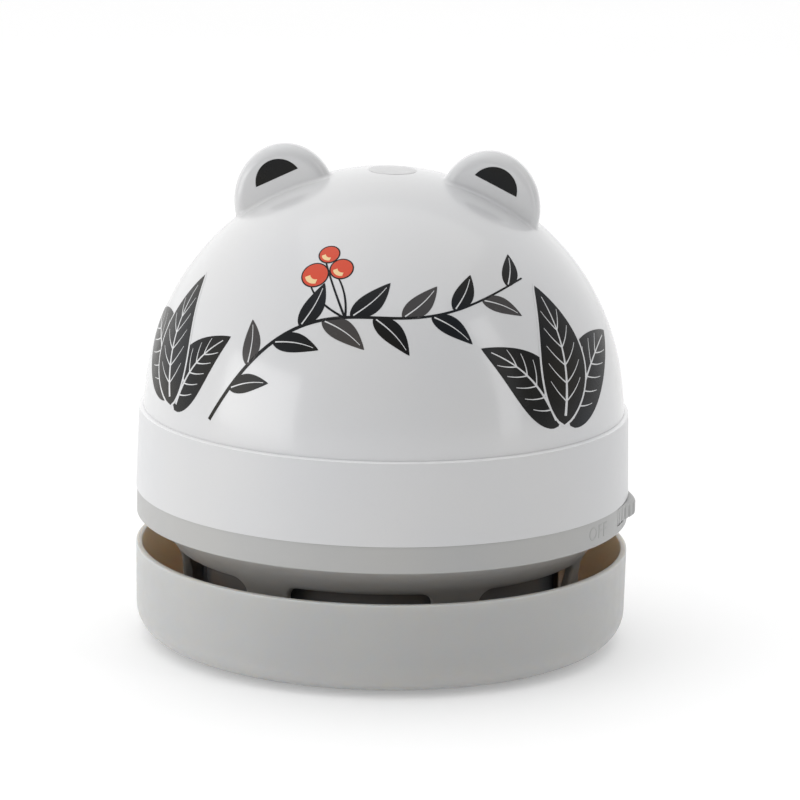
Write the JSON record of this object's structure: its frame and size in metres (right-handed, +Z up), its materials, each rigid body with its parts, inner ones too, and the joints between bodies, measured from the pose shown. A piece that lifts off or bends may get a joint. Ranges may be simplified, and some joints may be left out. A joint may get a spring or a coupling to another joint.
{
  "type": "desktop mini vacuum cleaner",
  "caption": "Palm-sized desktop vacuum cleaner: domed white motor housing with round ears on a grey open base cup, with a slide switch, a fan and a lift-out dust drum.",
  "frame": {"origin": "centre of the footprint, on the surface the cleaner stands on", "axes": "+Z up, front (the printed side) faces -Y, the slide switch is at +X"},
  "size_m": [0.0893, 0.088, 0.0886],
  "materials": {
    "white_gloss": "high gloss white moulding",
    "white_plastic": "satin white moulding",
    "grey_plastic": "fine satin grey moulding",
    "dark_plastic": "dark satin moulding",
    "deck_plastic": "plain moulding",
    "black_rubber": "matt",
    "bristle": "nylon bristle",
    "filter_cloth": "non-woven felt",
    "bare_steel": "plated",
    "cell_sleeve": "plain printed sleeve",
    "wire_red": "smooth insulation",
    "wire_black": "smooth insulation",
    "print_black": "gloss print",
    "print_grey": "gloss print",
    "print_red": "gloss print",
    "print_cream": "gloss print",
    "label_film": "thin blank sticker"
  },
  "bodies": {
    "base": {"base_cup": "grey_plastic", "suction_mouth": "grey_plastic", "brush_carrier": "dark_plastic", "brush_bristles": "bristle", "glide_pad_1": "black_rubber", "glide_pad_2": "black_rubber", "glide_pad_3": "black_rubber", "glide_pad_4": "black_rubber"},
    "drum": {"dust_drum": "dark_plastic", "drum_floor": "dark_plastic", "inlet_tube": "dark_plastic", "filter_frame": "dark_plastic", "filter_pad": "filter_cloth", "drum_seal": "black_rubber"},
    "upper_housing": {"lower_housing": "grey_plastic", "band_shell": "white_plastic", "motor_deck": "deck_plastic", "fan_shroud": "dark_plastic", "deck_screw_1": "bare_steel", "deck_screw_2": "bare_steel", "deck_screw_3": "bare_steel", "deck_screw_4": "bare_steel", "motor_can": "bare_steel", "motor_end_cap": "deck_plastic", "motor_screw_1": "bare_steel", "motor_screw_2": "bare_steel", "battery_tray": "dark_plastic", "tray_screw_1": "bare_steel", "tray_screw_2": "bare_steel", "battery_1": "cell_sleeve", "battery_2": "cell_sleeve", "contact_bridge": "bare_steel", "contact_positive": "bare_steel", "contact_negative": "bare_steel", "contact_spring_1": "bare_steel", "contact_spring_2": "bare_steel", "switch_body": "bare_steel", "switch_screw_1": "bare_steel", "switch_screw_2": "bare_steel", "wire_battery_to_switch": "wire_red", "wire_switch_to_motor": "wire_red", "wire_motor_to_battery": "wire_black"},
    "rotor": {"motor_shaft": "bare_steel", "fan_impeller": "deck_plastic"},
    "slide_tab": {"switch_tab": "grey_plastic"},
    "lever": {"switch_lever": "dark_plastic"},
    "dome": {"dome_cover": "white_gloss"}
  },
  "joints": [
    {"name": "drum_lift", "type": "slide", "parent": "base", "child": "drum", "axis": [0, 0, 1], "range_m": [0, 0.016]},
    {"name": "housing_lift", "type": "slide", "parent": "drum", "child": "upper_housing", "axis": [0, 0, 1], "range_m": [0, 0.024]},
    {"name": "dome_lift", "type": "slide", "parent": "upper_housing", "child": "dome", "axis": [0, 0, 1], "range_m": [0, 0.035]},
    {"name": "rotor_spin", "type": "hinge", "parent": "upper_housing", "child": "rotor", "pos_m": [0, 0, 0.026], "axis": [0, 0, 1], "continuous": true},
    {"name": "tab_slide", "type": "hinge", "parent": "upper_housing", "child": "slide_tab", "pos_m": [0, 0, 0.0252], "axis": [0, 0, 1], "range_deg": [0, 6]},
    {"name": "lever_slide", "type": "slide", "parent": "upper_housing", "child": "lever", "axis": [0, 1, 0], "range_m": [0, 0.0041]}
  ],
  "couplings": [
    {"joint": "lever_slide", "follows": "tab_slide", "m_per_rad": 0.0382}
  ]
}
